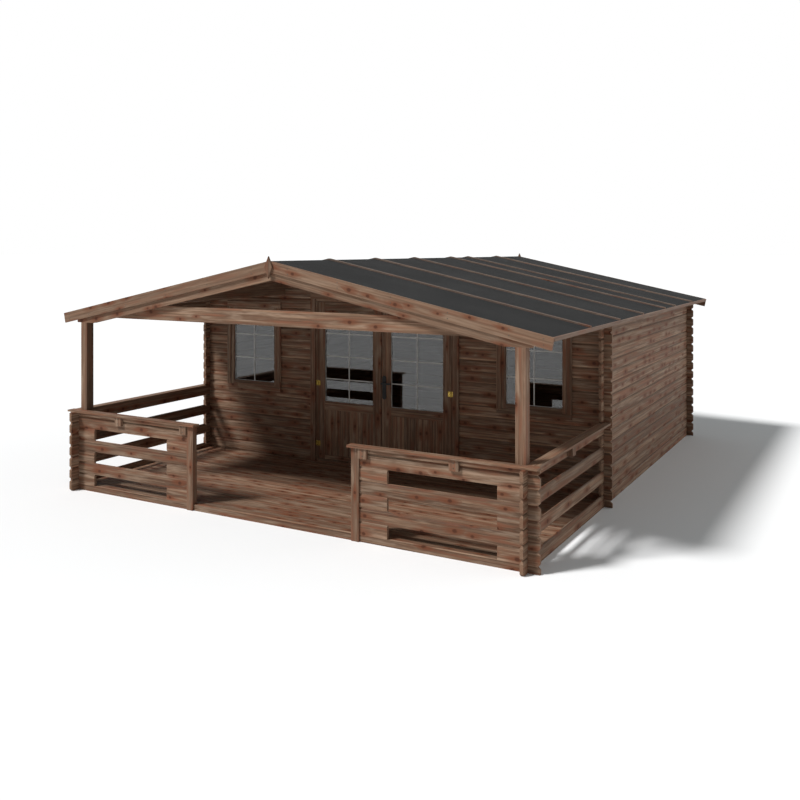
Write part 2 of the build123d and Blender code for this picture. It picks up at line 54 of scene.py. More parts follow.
# %% Camera
camera = bpy.data.objects.new("camera", bpy.data.cameras.new("camera"))
bpy.context.scene.collection.objects.link(camera)
camera.location = (4.889, -9.291, 2.442)
camera.rotation_euler = (radians(90), 0, radians(29.25))
camera.data.lens = 40.25
camera.data.sensor_width = 36
camera.data.shift_y = -0.1887
bpy.context.scene.camera = camera
print("camera at", tuple(round(c, 2) for c in camera.location))

# %% [markdown]
# ## Floor
#
# The cabin stands on a wide pale floor that catches its shadow. A plane is enough, but it has to reach the
# horizon, or its edge would show behind the roof. The floor belongs to the stage and not to the cabin.

# %% Floor
def new_finish(name):
    finish = bpy.data.materials.new(name)
    finish.use_nodes = True
    return finish, finish.node_tree, finish.node_tree.nodes["Principled BSDF"]


bpy.ops.object.select_all(action="DESELECT")
bpy.ops.mesh.primitive_plane_add(size=600, location=(0, 0, 0))
floor = bpy.context.object
floor.name = "pale_floor"
pale, _, pale_shader = new_finish("pale_floor")
pale_shader.inputs["Base Color"].default_value = (0.86, 0.86, 0.86, 1)
pale_shader.inputs["Roughness"].default_value = 0.9
pale_shader.inputs["Specular IOR Level"].default_value = 0.0
floor.data.materials.append(pale)
print("floor:", floor.name)

# %% [markdown]
# ## Two suns
#
# One broad sun comes from the front left, half way up the sky, and throws a soft shadow to the right and back.
# Area lamps would light the near end of a long wall more than its far end, and a sun does not. A second, weak
# and slightly cool sun comes from behind on the right, so that the long side wall does not go dull.

# %% Suns
def add_sun(name, strength, angle, towards, colour):
    lamp = bpy.data.lights.new(name, "SUN")
    lamp.energy = strength
    lamp.color = colour
    lamp.angle = radians(angle)
    sun = bpy.data.objects.new(name, lamp)
    bpy.context.scene.collection.objects.link(sun)
    sun.rotation_euler = Vector(towards).to_track_quat("-Z", "Y").to_euler()
    print(name, "has a strength of", strength)


add_sun("key_sun", 3.75, 11, (0.56, 0.65, -1.0), (1, 1, 1))
add_sun("side_fill", 0.75, 60, (-1.0, -0.6, -0.25), (0.93, 0.99, 1.0))

# %% [markdown]
# ## Small helpers for nodes
#
# The sky and every finish below are trees of nodes. These helpers add a node, feed a socket from a number or
# from another socket, and do the sums, blends and soft steps that wood and paint need. With them, each finish
# reads as a short list of steps.

# %% Node helpers
def place(tree, kind, **settings):
    node = tree.nodes.new("ShaderNode" + kind)
    for name, value in settings.items():
        setattr(node, name, value)
    return node


def feed(tree, socket, source):
    if isinstance(source, bpy.types.NodeSocket):
        tree.links.new(source, socket)
    else:
        socket.default_value = source


def sums(tree, operation, *sources):
    node = place(tree, "Math", operation=operation)
    for socket, source in zip(node.inputs, sources):
        feed(tree, socket, source)
    return node.outputs[0]


def ease(tree, value, low, high, to_low=0.0, to_high=1.0):
    node = place(tree, "MapRange", interpolation_type="SMOOTHSTEP")
    for title, source in (("Value", value), ("From Min", low), ("From Max", high),
                          ("To Min", to_low), ("To Max", to_high)):
        feed(tree, node.inputs[title], source)
    return node.outputs["Result"]


# A Mix node keeps its colours in sockets 6 and 7, and gives a colour from output 2
def tint(tree, share, first, second, kind="MIX"):
    node = place(tree, "Mix", data_type="RGBA", blend_type=kind)
    for number, source in ((0, share), (6, first), (7, second)):
        feed(tree, node.inputs[number], source)
    return node.outputs[2]


print("node helpers: place, feed, sums, ease, tint")

# %% [markdown]
# ## Sky
#
# The sky fills the shade under the veranda roof. It looks white to the camera, and in the panes and metal, but
# it lights the timber with about a quarter of that and a little cooler, as shade out of doors is. The Light
# Path node tells the two apart, so that colours come out about as they are written.

# %% Sky
cool_light = (0.94, 0.985, 1.0, 1)
white_backdrop = (1, 1, 1, 1)
light_strength, backdrop_strength = 0.26, 1.0
sky = bpy.data.worlds.new("pale_sky")
bpy.context.scene.world = sky
sky.use_nodes = True
sky_tree = sky.node_tree
rays = place(sky_tree, "LightPath").outputs
mirrored = sums(sky_tree, "MAXIMUM", rays["Is Glossy Ray"], rays["Is Transmission Ray"])
seen = sums(sky_tree, "MAXIMUM", rays["Is Camera Ray"], mirrored)
background = sky_tree.nodes["Background"].inputs
feed(sky_tree, background["Color"], tint(sky_tree, seen, cool_light, white_backdrop))
feed(sky_tree, background["Strength"], ease(sky_tree, seen, 0.0, 1.0, light_strength, backdrop_strength))
bpy.context.scene.view_settings.view_transform = "Standard"
print("sky:", sky.name)

# %% [markdown]
# ## Stained softwood
#
# All timber of the cabin is spruce with a brown stain: pale and dark streaks along the grain, fine growth
# rings, and reddish knots. A picture of wood would repeat and stretch, so the grain is built from noise in
# metres, once, as a node group that every timber finish uses with its own values. The group takes three
# lengths: along the board, across it and into it. Row Height and Row Start cut the width into logs or boards.
# Contrast and Reach say how strong and how long the streaks are. Two more sockets paint light and shade on
# logs: painted shade and a painted highlight on the chamfers, and painted shade in the joints.

# %% Grain group
log_height = 0.114
pale_stain = (0.273, 0.168, 0.107, 1)
dark_stain = (0.092, 0.048, 0.028, 1)


def new_group(name, inputs, outputs):
    tree = bpy.data.node_groups.new(name, "ShaderNodeTree")
    for title, kind, value in inputs:
        socket = tree.interface.new_socket(name=title, in_out="INPUT", socket_type="NodeSocket" + kind)
        socket.default_value = value
    for title, kind in outputs:
        tree.interface.new_socket(name=title, in_out="OUTPUT", socket_type="NodeSocket" + kind)
    return tree, tree.nodes.new("NodeGroupInput").outputs, tree.nodes.new("NodeGroupOutput").inputs


grain, given, result = new_group(
    "stained_grain",
    [("Along", "Float", 0), ("Across", "Float", 0), ("Depth", "Float", 0), ("Row Height", "Float", log_height),
     ("Row Start", "Float", 0), ("Seed", "Float", 0), ("Pale Stain", "Color", pale_stain),
     ("Dark Stain", "Color", dark_stain), ("Weathered Edge", "Float", 0), ("Joint Dirt", "Float", 0),
     ("End Grain", "Float", 0), ("Contrast", "Float", 1), ("Reach", "Float", 1)],
    [("Color", "Color"), ("Roughness", "Float"), ("Height", "Float")])
maths, ramp, blend = (partial(helper, grain) for helper in (sums, ease, tint))
print("group:", grain.name, "with", len(grain.interface.items_tree), "sockets")

# %% [markdown]
# ## Rows
#
# Every log or board was a different tree, so each row rolls three dice of its own: one slides its streaks
# along, one moves the heart of its rings, and one makes it paler or darker. White Noise gives the same roll
# for the same row number, so the cabin looks the same on every run.

# %% Rows
seed_step = 7.31
longest_slide = 40.0


def split(tree, source, kind="XYZ"):
    node = place(tree, "Separate" + kind)
    feed(tree, node.inputs[0], source)
    return node.outputs


rows = maths("DIVIDE", maths("SUBTRACT", given["Across"], given["Row Start"]), given["Row Height"])
in_row = maths("FRACT", rows)
row_dice = place(grain, "TexWhiteNoise", noise_dimensions="1D")
feed(grain, row_dice.inputs["W"], maths("MULTIPLY_ADD", maths("FLOOR", rows), seed_step, given["Seed"]))
slide_roll, heart_roll, shade_roll = split(grain, row_dice.outputs["Color"], "Color")
along = maths("ADD", maths("DIVIDE", given["Along"], given["Reach"]),
              maths("MULTIPLY", slide_roll, longest_slide))
print("rows:", len(grain.nodes), "nodes so far")

# %% [markdown]
# ## Streaks
#
# Stain sinks into soft wood unevenly and leaves streaks that are long and thin. The same noise serves for all
# of them. It is squeezed across the board and stretched along it, by the waves per metre that each line gives:
# wide pale and dark patches, streaks, fine fibres, and shorter patches where the wood is red or bleached.

# %% Streaks
def point(tree, x, y, z):
    node = place(tree, "CombineXYZ")
    for socket, source in zip(node.inputs, (x, y, z)):
        feed(tree, socket, source)
    return node.outputs[0]


def noise(tree, vector, scale, detail, roughness=0.55):
    node = place(tree, "TexNoise")
    for title, source in (("Vector", vector), ("Scale", scale), ("Detail", detail), ("Roughness", roughness)):
        feed(tree, node.inputs[title], source)
    return node.outputs[0]


def streaks(along_waves, across_waves, **character):
    stretched = point(grain, maths("MULTIPLY", along, along_waves),
                      maths("MULTIPLY", given["Across"], across_waves),
                      maths("MULTIPLY", given["Depth"], across_waves))
    return noise(grain, stretched, 1.0, **character)


broad = streaks(1.3, 13.0, detail=3.0, roughness=0.6)
streak = streaks(0.9, 62.0, detail=4.0, roughness=0.6)
fibre = streaks(4.0, 380.0, detail=2.0)
patch = streaks(2.4, 26.0, detail=3.0, roughness=0.6)
print("streaks:", len(grain.nodes), "nodes so far")

# %% [markdown]
# ## Knots
#
# A knot is a branch cut through: a dark core with a red ring that is drawn out along the grain. A Voronoi
# texture drops one point into each cell. A cell here is one row high and a quarter of a metre long, so knots
# lie well apart, and a die leaves some cells without one. Knots painted by hand would need a picture for
# every board.

# %% Knots
cell_length = 0.26
cell_scatter = 0.85
knot_chance = 0.7
least_radius, more_radius = 0.0105, 0.009
seed_along, seed_across = 3.7, 11.0


def length_of(a, b):
    return maths("SQRT", maths("ADD", maths("MULTIPLY", a, a), maths("MULTIPLY", b, b)))


cell_place = point(
    grain, maths("MULTIPLY_ADD", given["Seed"], seed_along, maths("DIVIDE", given["Along"], cell_length)),
    maths("MULTIPLY_ADD", given["Seed"], seed_across, rows), 0.0)
cells = place(grain, "TexVoronoi", voronoi_dimensions="2D", feature="F1")
for title, source in (("Vector", cell_place), ("Scale", 1.0), ("Randomness", cell_scatter)):
    feed(grain, cells.inputs[title], source)
offset = place(grain, "VectorMath", operation="SUBTRACT")
feed(grain, offset.inputs[0], cell_place)
feed(grain, offset.inputs[1], cells.outputs["Position"])
cells_along, cells_across, _ = split(grain, offset.outputs[0])
knot_along = maths("MULTIPLY", cells_along, cell_length)
knot_across = maths("MULTIPLY", cells_across, given["Row Height"])
size_roll, chance_roll, _ = split(grain, cells.outputs["Color"], "Color")
there = maths("LESS_THAN", chance_roll, knot_chance)
radius = maths("MULTIPLY_ADD", size_roll, more_radius, least_radius)


def oval(squeeze, outer, inner):
    distance = length_of(maths("MULTIPLY", knot_along, squeeze), knot_across)
    return maths("MULTIPLY", there, ramp(maths("DIVIDE", distance, radius), outer, inner))


knot = oval(0.75, 1.25, 0.45)
halo = oval(0.3, 2.6, 0.5)
print("knots:", len(grain.nodes), "nodes so far")

# %% [markdown]
# ## Growth rings
#
# A sawn board shows its year rings as fine lines, because the saw cuts a bundle of cones. The distance from a
# heart beside the row, folded back and forth every few millimetres, gives such lines on every face and at the
# ends alike. Broad noise waves them, and they swing round the knots.

# %% Growth rings
heart_repeat = 0.26
heart_behind = 0.03
ring_step = 0.0045
wave_depth, swing_depth = 0.05, 0.012
heart = maths("MULTIPLY", maths("SUBTRACT", in_row, heart_roll), given["Row Height"])
wrapped = maths("MODULO", maths("ADD", given["Depth"], 20 * heart_repeat), heart_repeat)
deep = maths("ADD", maths("SUBTRACT", wrapped, heart_repeat / 2), heart_behind)
waved = maths("MULTIPLY_ADD", broad, wave_depth, length_of(heart, deep))
bent = maths("MULTIPLY_ADD", halo, swing_depth, waved)
ring = ramp(maths("PINGPONG", bent, ring_step), 0.4 * ring_step, ring_step)
print("rings:", len(grain.nodes), "nodes so far")

# %% [markdown]
# ## Stain
#
# The colour is laid on in coats, as a painter glazes: dark and pale stain by the streaks, fibres over it,
# darker and redder patches, patches that the sun has bleached, and the rings. Each coat is a blend with a mask
# from above. Contrast scales the masks, so that calm and lively boards come from one group.

# %% Stain
red_stain = (0.180, 0.068, 0.036, 1)
bleached_wood = (0.310, 0.222, 0.158, 1)


def lively(share):
    return maths("MULTIPLY", given["Contrast"], share)


swing = lively(0.48)
share = ramp(streak, 0.35, 0.65, maths("SUBTRACT", 0.5, swing), maths("ADD", 0.5, swing))
stain = blend(share, given["Dark Stain"], given["Pale Stain"])
for mask, colour in ((ramp(fibre, 0.4, 0.75, 0.0, 0.35), given["Dark Stain"]),
                     (ramp(broad, 0.36, 0.54, lively(0.42), 0.0), given["Dark Stain"]),
                     (ramp(patch, 0.5, 0.66, 0.0, lively(0.75)), red_stain),
                     (ramp(patch, 0.5, 0.32, 0.0, lively(0.55)), bleached_wood),
                     (maths("MULTIPLY", ring, 0.25), given["Dark Stain"])):
    stain = blend(mask, stain, colour)
print("stain:", len(grain.nodes), "nodes so far")

# %% [markdown]
# ## Row shades and edges
#
# Some logs are paler than their neighbours. Each log also has a chamfer above and below. The upper one faces
# the sky and would come out brighter than the face, so painted shade darkens it. The lower one faces down and
# gets a painted highlight. On the side walls painted shade also darkens the joints. Painting this by the place
# in the row costs no geometry and lies exactly on the chamfers of the solids.

# %% Row shades and edges
def shaded(colour, value):
    return blend(1.0, colour, point(grain, value, value, value), "MULTIPLY")


toned = shaded(stain, maths("MULTIPLY_ADD", shade_roll, 0.42, 0.79))
# Painted shade on the upper chamfer of each log, and a painted highlight on the lower one
painted_top_chamfer_shade = maths("MULTIPLY", ramp(in_row, 0.83, 0.87), given["Weathered Edge"])
painted_bottom_chamfer_light = maths("MULTIPLY", ramp(in_row, 0.17, 0.13), given["Weathered Edge"])
painted_chamfer_change = maths("MULTIPLY_ADD", painted_top_chamfer_shade, -0.2, maths("MULTIPLY", painted_bottom_chamfer_light, 0.45))
# Painted shade darkens the joints between logs
to_joint = maths("MINIMUM", in_row, maths("SUBTRACT", 1.0, in_row))
dirt = maths("MULTIPLY", ramp(to_joint, 0.1, 0.03), given["Joint Dirt"])
painted_edge_light_and_shade = maths("MULTIPLY", maths("ADD", 1.0, painted_chamfer_change), maths("SUBTRACT", 1.0, dirt))
with_painted_edges = shaded(toned, painted_edge_light_and_shade)
print("edges:", len(grain.nodes), "nodes so far")

# %% [markdown]
# ## What the grain gives
#
# Knots come over the stain, because they are dark in raw wood too, and sawn ends show rings instead of streaks.
# The group gives a colour, a roughness and a height. The shader itself stays in each material, where its gloss
# can be set.

# %% Grain results
knot_red = (0.128, 0.037, 0.014, 1)
knot_core = (0.056, 0.017, 0.007, 1)
sawn_pale = (0.205, 0.122, 0.077, 1)
sawn_dark = (0.112, 0.059, 0.035, 1)
reddened = blend(maths("MULTIPLY", halo, 0.75), with_painted_edges, knot_red)
knotted = blend(maths("MULTIPLY", knot, 0.85), reddened, knot_core)
sawn = blend(ring, sawn_pale, sawn_dark)
feed(grain, result["Color"], blend(maths("MULTIPLY", given["End Grain"], 0.8), knotted, sawn))
feed(grain, result["Roughness"], maths("MULTIPLY_ADD", streak, 0.25, 0.6))
raised = maths("MULTIPLY_ADD", ring, -0.25, maths("MULTIPLY", knot, 0.3))
feed(grain, result["Height"], maths("MULTIPLY_ADD", streak, 0.6, raised))
print("group:", grain.name, "has", len(grain.nodes), "nodes")

# %% [markdown]
# ## Helpers for timber
#
# Every solid sits at the origin with its place in its mesh, so Object coordinates are metres on the cabin, and
# the grain neither stretches nor slides. The words that add_grain takes are the sockets of the group, and a
# socket that is not named keeps its value. A face that looks along the grain is a sawn end.

# %% Timber helpers
def object_place(tree):
    return place(tree, "TexCoord").outputs["Object"]


def object_axes(tree):
    return dict(zip("XYZ", split(tree, object_place(tree))))


def facing(tree, axis):
    sides = split(tree, place(tree, "TexCoord").outputs["Normal"])
    return ease(tree, sums(tree, "ABSOLUTE", sides["XYZ".index(axis)]), 0.55, 0.65)


def add_grain(tree, along, across, depth, **values):
    node = place(tree, "Group", node_tree=grain)
    values.update(along=along, across=across, depth=depth)
    for title, source in values.items():
        feed(tree, node.inputs[title.replace("_", " ").title()], source)
    return node.outputs


def bump(tree, height, shader, distance):
    node = place(tree, "Bump")
    node.inputs["Strength"].default_value = 1.0
    node.inputs["Distance"].default_value = distance
    feed(tree, node.inputs["Height"], height)
    feed(tree, shader.inputs["Normal"], node.outputs[0])


print("timber helpers: object_place, object_axes, facing, add_grain, bump")

# %% [markdown]
# ## Timber finish
#
# Grain runs along a log or board, so timber that lies along the front, along the sides or upright needs its
# own finish. All use the same group. Three letters say which axis runs along, across and into the timber. A
# stain leaves wood dull, so the gloss is low, and a low bump from the grain breaks up the light.

# %% Timber finish
grain_depth = 0.0012
timber_gloss = 0.2


def dress(tree, shader, wood):
    feed(tree, shader.inputs["Base Color"], wood["Color"])
    feed(tree, shader.inputs["Roughness"], wood["Roughness"])
    bump(tree, wood["Height"], shader, grain_depth)
    shader.inputs["Specular IOR Level"].default_value = timber_gloss


def timber(name, lengths, **values):
    finish, tree, shader = new_finish(name)
    axes = object_axes(tree)
    along, across, depth = (axes[letter] for letter in lengths)
    dress(tree, shader, add_grain(tree, along, across, depth, end_grain=facing(tree, lengths[0]), **values))
    return finish


def give(finish, *names):
    for name in names:
        solids[name].material_slots[0].material = finish
    print(finish.name, "on", len(names), "solids")


print("timber finish: dress, timber, give")

# %% [markdown]
# ## Log walls and boards
#
# Logs of crossing walls lie half a row apart, so the front logs start half a log up. Both log finishes get
# painted shade and a painted highlight on their chamfers. The side walls also get painted shade in their
# joints, and their streaks are longer. Floor and lining are narrow boards, so their rows are a board wide.

# %% Log walls and boards
deck_board = 0.09765
lining_board = 0.09
# Both log finishes paint shade and a highlight onto the chamfers of the logs
give(timber("front_logs", "XZY", row_start=log_height / 2, seed=1.0, weathered_edge=0.8, contrast=1.05,
            reach=0.9),
     "front_sill", "front_left_balustrade", "front_right_balustrade", "back_wall", "front_wall_left",
     "front_wall_right", "front_gable", "door_sill")
# The side logs also get painted shade in the joints between them
give(timber("side_logs", "YZX", seed=2.0, weathered_edge=0.6, joint_dirt=0.38, contrast=0.9, reach=1.5),
     "left_side_balustrade", "right_side_balustrade", "left_wall", "right_wall")
give(timber("floor_boards", "XYZ", row_height=deck_board, row_start=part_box("veranda_floor")[0][1], seed=9.0),
     "veranda_floor", "cabin_floor")
give(timber("roof_lining", "XYZ", row_height=lining_board, seed=10.0), "roof_boards")

# %% [markdown]
# ## Single timbers
#
# Beams, posts, handrails and trim are single pieces, so their rows are wider than any of them, and each shows
# one run of grain. Handrails, posts and eave boards took the stain a little darker or calmer, and the roof
# battens have gone grey in the sun.

# %% Single timbers
whole = 0.25
give(timber("cross_timber", "XZY", row_height=whole, row_start=0.02, seed=5.0, contrast=0.9),
     "tie_beam", "door_head", "door_threshold")
give(timber("cap_timber", "XYZ", row_height=whole, row_start=0.05, seed=6.0, contrast=1.2,
            pale_stain=(0.205, 0.120, 0.074, 1), dark_stain=(0.080, 0.041, 0.024, 1)),
     "front_caps")
give(timber("long_timber", "YZX", row_height=whole, row_start=0.1, seed=7.0, contrast=0.7),
     "ridge_purlin", "side_purlins", "floor_bearers", "side_caps")
give(timber("eave_timber", "YZX", row_height=whole, row_start=0.1, seed=12.0, contrast=0.5,
            pale_stain=(0.205, 0.134, 0.097, 1), dark_stain=(0.086, 0.053, 0.038, 1)),
     "eave_boards")
give(timber("upright_timber", "ZXY", row_height=0.2, row_start=0.05, seed=8.0, contrast=0.8,
            pale_stain=(0.206, 0.126, 0.082, 1)),
     "veranda_posts", "entrance_posts", "cap_brackets", "door_jambs", "finials")
give(timber("batten_timber", "XYZ", row_height=0.3, row_start=0.1, seed=11.0, contrast=0.4,
            pale_stain=(0.185, 0.134, 0.106, 1), dark_stain=(0.078, 0.053, 0.041, 1)),
     "roof_battens")

# %% [markdown]
# ## Raking timber
#
# The barge boards and rafters lie on the slope of the roof, so their grain has to lean with them. Turning the
# two lengths by the pitch does that, and taking the distance from the ridge without its sign serves both
# slopes at once. The sign goes into the seed instead, so that the two slopes do not mirror each other.

# %% Raking timber
pitch = radians(11.87)
raking_row = 0.11
raking_pale = (0.285, 0.178, 0.115, 1)


def two_sides(tree, x, step, seed):
    return sums(tree, "ABSOLUTE", x), sums(tree, "MULTIPLY_ADD", sums(tree, "SIGN", x), step, seed)


def raking_timber(name, node, seed):
    finish, tree, shader = new_finish(name)
    axes = object_axes(tree)
    out, own_seed = two_sides(tree, axes["X"], 1.7, seed)
    along = sums(tree, "SUBTRACT", sums(tree, "MULTIPLY", out, cos(pitch)),
                 sums(tree, "MULTIPLY", axes["Z"], sin(pitch)))
    across = sums(tree, "ADD", sums(tree, "MULTIPLY", out, sin(pitch)),
                  sums(tree, "MULTIPLY", axes["Z"], cos(pitch)))
    row_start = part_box(node)[1][2] * cos(pitch) - raking_row
    dress(tree, shader, add_grain(tree, along, across, axes["Y"], row_height=raking_row, row_start=row_start,
                                  seed=own_seed, pale_stain=raking_pale, contrast=0.55))
    return finish


give(raking_timber("barge_timber", "front_barge_boards", 20.0), "front_barge_boards", "back_barge_boards")
give(raking_timber("rafter_timber", "rafters", 26.0), "rafters")

# %% [markdown]
# ## Joinery
#
# Door leaves and window frames are joined from upright and level pieces, so their grain turns at each joint.
# A material for each rail would need the leaf cut into faces. One finish holds both grains instead and picks
# one by place: level between the stiles where the rails are, upright everywhere else.

# %% Joinery finish
rail_row, rail_start = 0.2, 0.06


def within(tree, value, low, high):
    above = sums(tree, "GREATER_THAN", value, low)
    return sums(tree, "MULTIPLY", above, sums(tree, "LESS_THAN", value, high))


def outside(tree, value, low, high):
    return sums(tree, "SUBTRACT", 1.0, within(tree, value, low, high))


def joinery(name, rail_share, board_width, board_start, seed):
    finish, tree, shader = new_finish(name)
    axes = object_axes(tree)
    out, own_seed = two_sides(tree, axes["X"], 2.3, seed)
    upright = add_grain(tree, axes["Z"], out, axes["Y"], row_height=board_width, row_start=board_start,
                        seed=own_seed)
    level = add_grain(tree, axes["X"], axes["Z"], axes["Y"], row_height=rail_row, row_start=rail_start,
                      seed=own_seed)
    share = rail_share(tree, out, axes["Z"])
    height = place(tree, "Mix", data_type="FLOAT")
    for number, source in ((0, share), (2, upright["Height"]), (3, level["Height"])):
        feed(tree, height.inputs[number], source)
    dress(tree, shader, {"Color": tint(tree, share, upright["Color"], level["Color"]),
                         "Roughness": upright["Roughness"], "Height": height.outputs[0]})
    return finish


print("joinery: upright grain with level rails")

# %% [markdown]
# ## Doors and windows
#
# A leaf has two stiles, three rails and a field of upright boards below. A window has a casing round it and a
# sash inside, each with a rail above and below. The numbers are the edges of these pieces in the solids.

# %% Doors and windows
between_stiles = (0.1125, 0.7375)
panel_boards = (0.142, 0.648)
board_width = 0.15625
between_casings = (0.846, 1.760)
sash_width = (1.44, 2.03)
between_sash_rails = (0.894, 1.712)
window_start, window_width = 1.392, 0.343


def leaf_rails(tree, out, z):
    return sums(tree, "MULTIPLY", within(tree, out, *between_stiles), outside(tree, z, *panel_boards))


def frame_rails(tree, out, z):
    sash = sums(tree, "MULTIPLY", within(tree, out, *sash_width), outside(tree, z, *between_sash_rails))
    return sums(tree, "MAXIMUM", outside(tree, z, *between_casings), sash)


door_timber = joinery("door_timber", leaf_rails, board_width, between_stiles[0], 30.0)
give(door_timber, "left_door_leaf", "right_door_leaf")
give(joinery("window_timber", frame_rails, window_width, window_start, 40.0), "window_frames")

# %% [markdown]
# ## Roofing felt
#
# The roof is covered with dark mineral felt: a bitumen sheet with fine stone granules pressed into it. A fine
# noise gives the granules their speckle and bump, and a wide one gives the faint patches that felt shows.
# Modelled granules would be far too many, and they are smaller than a pixel from any usual distance.

# %% Roofing felt
bitumen = (0.0100, 0.0100, 0.0100, 1)
stone = (0.031, 0.0305, 0.0302, 1)
worn_felt = (0.011, 0.0112, 0.0114, 1)
felt, felt_tree, felt_shader = new_finish("mineral_felt")
felt_place = object_place(felt_tree)
granules = noise(felt_tree, felt_place, 420.0, 2.0, 0.7)
patches = noise(felt_tree, felt_place, 1.3, 4.0, 0.6)
speckle = tint(felt_tree, ease(felt_tree, granules, 0.3, 0.72), bitumen, stone)
feed(felt_tree, felt_shader.inputs["Base Color"],
     tint(felt_tree, ease(felt_tree, patches, 0.35, 0.7, 0.0, 0.3), speckle, worn_felt))
feed(felt_tree, felt_shader.inputs["Roughness"], ease(felt_tree, patches, 0.2, 0.8, 0.88, 1.0))
felt_shader.inputs["Specular IOR Level"].default_value = 0.1
bump(felt_tree, granules, felt_shader, 0.0015)
give(felt, "roof_felt")

# %% [markdown]
# ## Glass
#
# The panes mirror the bright surroundings and show little of the dark room. Real double panes have four
# faces that each mirror a little. Here each pane has two, so the glass bends light a bit more than real glass
# does and mirrors as much as the four. A grey tint keeps the room behind it dim, as it looks from outside by
# day. A faint noise in the roughness stands for wiped streaks.

# %% Glass
glass, glass_tree, glass_shader = new_finish("window_glass")
wipes = noise(glass_tree, object_place(glass_tree), 6.0, 3.0)
feed(glass_tree, glass_shader.inputs["Roughness"], ease(glass_tree, wipes, 0.4, 0.8, 0.0, 0.008))
glass_shader.inputs["Base Color"].default_value = (0.38, 0.38, 0.38, 1)
glass_shader.inputs["Transmission Weight"].default_value = 1.0
glass_shader.inputs["IOR"].default_value = 1.71
give(glass, "window_glass", "left_door_glass", "right_door_glass")

# %% [markdown]
# ## Brass hinges
#
# The hinges are bright brass with a little tarnish. One noise sets both: where the metal is duller it is also
# darker. Paint and zinc further on are mottled in the same way, so this is a helper.

# %% Brass
def mottled(name, scale, detail, first, second, gloss, spread=(0.3, 0.7), roughness=0.55):
    finish, tree, shader = new_finish(name)
    mottle = noise(tree, object_place(tree), scale, detail, roughness)
    share = ease(tree, mottle, *spread) if spread else mottle
    feed(tree, shader.inputs["Base Color"], tint(tree, share, first, second))
    feed(tree, shader.inputs["Roughness"], ease(tree, mottle, 0.3, 0.7, *gloss))
    return finish, tree, shader, mottle


brass, _, brass_shader, _ = mottled("hinge_brass", 60.0, 4.0, (0.40, 0.275, 0.066, 1), (0.22, 0.14, 0.034, 1),
                                    (0.22, 0.42), spread=(0.35, 0.7))
brass_shader.inputs["Metallic"].default_value = 1.0
give(brass, "jamb_hinge_flaps", "left_door_hinges", "right_door_hinges")

# %% [markdown]
# ## Black iron
#
# The handle and its plates are iron with a black coat. Such a coat is never quite even, so its gloss varies
# and a very low bump shows in the light. It is paint that one sees, not metal, so Metallic stays at 0.

# %% Iron
iron, iron_tree, iron_shader, coat = mottled("black_iron", 150.0, 3.0, (0.010, 0.010, 0.010, 1),
                                             (0.021, 0.021, 0.021, 1), (0.38, 0.55), spread=None)
iron_shader.inputs["Specular IOR Level"].default_value = 0.2
bump(iron_tree, coat, iron_shader, 0.0003)
give(iron, "handle_plates", "lever_handle")

# %% [markdown]
# ## Modelling helpers
#
# The pieces below are modelled as by hand: a primitive is added, faces are picked by their place, and edit mode
# tools shape them. Operators act on everything that is selected, so each piece starts from an empty selection.
# A finished piece has its place in its mesh and rides on a body, so that it moves with its door.

# %% Modelling helpers
def only(*pieces):
    bpy.ops.object.select_all(action="DESELECT")
    for piece in pieces:
        piece.select_set(True)
    bpy.context.view_layer.objects.active = pieces[0]


def settle(piece):
    only(piece)
    bpy.ops.object.transform_apply(location=True, rotation=True, scale=True)


def pick_faces(piece, wanted):
    only(piece)
    bpy.ops.object.mode_set(mode="EDIT")
    bpy.ops.mesh.select_mode(type="FACE")
    bpy.ops.mesh.select_all(action="DESELECT")
    bpy.ops.object.mode_set(mode="OBJECT")
    for face in piece.data.polygons:
        face.select = wanted(face)
    bpy.ops.object.mode_set(mode="EDIT")


def fit(piece, name, finish, body):
    settle(piece)
    piece.name = name
    piece.data.name = name
    piece.data.materials.clear()
    piece.data.materials.append(finish)
    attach(piece, body)
    print(name, "has", len(piece.data.polygons), "faces")


print("modelling helpers: only, settle, pick_faces, fit")

# %% [markdown]
# ## Paint of the bars
#
# The glazing bars are painted an off white that has gone a little chalky. A single flat white would look like
# plastic, so two whites are mottled together, and a very low bump takes the shine off.

# %% Bar paint
white, white_tree, white_shader, chalk = mottled(
    "white_bars", 35.0, 4.0, (0.53, 0.515, 0.49, 1), (0.43, 0.42, 0.395, 1), (0.35, 0.55),
    spread=(0.3, 0.75), roughness=0.6)
bump(white_tree, chalk, white_shader, 0.0002)
print("paint:", white.name)

# %% [markdown]
# ## Lattice of bars
#
# The bars of a pane cross each other and stand out a little on both faces of the glass, with a thin edge round
# it. Separate sticks would have to be fitted at every crossing. Here a flat sheet the size of the pane is cut
# into fields, each field is inset, the middles are deleted, and the lattice that is left is given its
# thickness, which takes the glass inside it. A narrow bevel takes the sharpness off the edges.

# %% Bar lattice
edge = 0.008
bar_width = 0.012
bar_rise = 0.004
bar_softness = 0.0012


def soften(piece, width):
    only(piece)
    edges = piece.modifiers.new("softened_edges", "BEVEL")
    edges.width = width
    edges.segments = 2
    edges.limit_method = "ANGLE"
    edges.angle_limit = radians(40)
    bpy.ops.object.modifier_apply(modifier=edges.name)


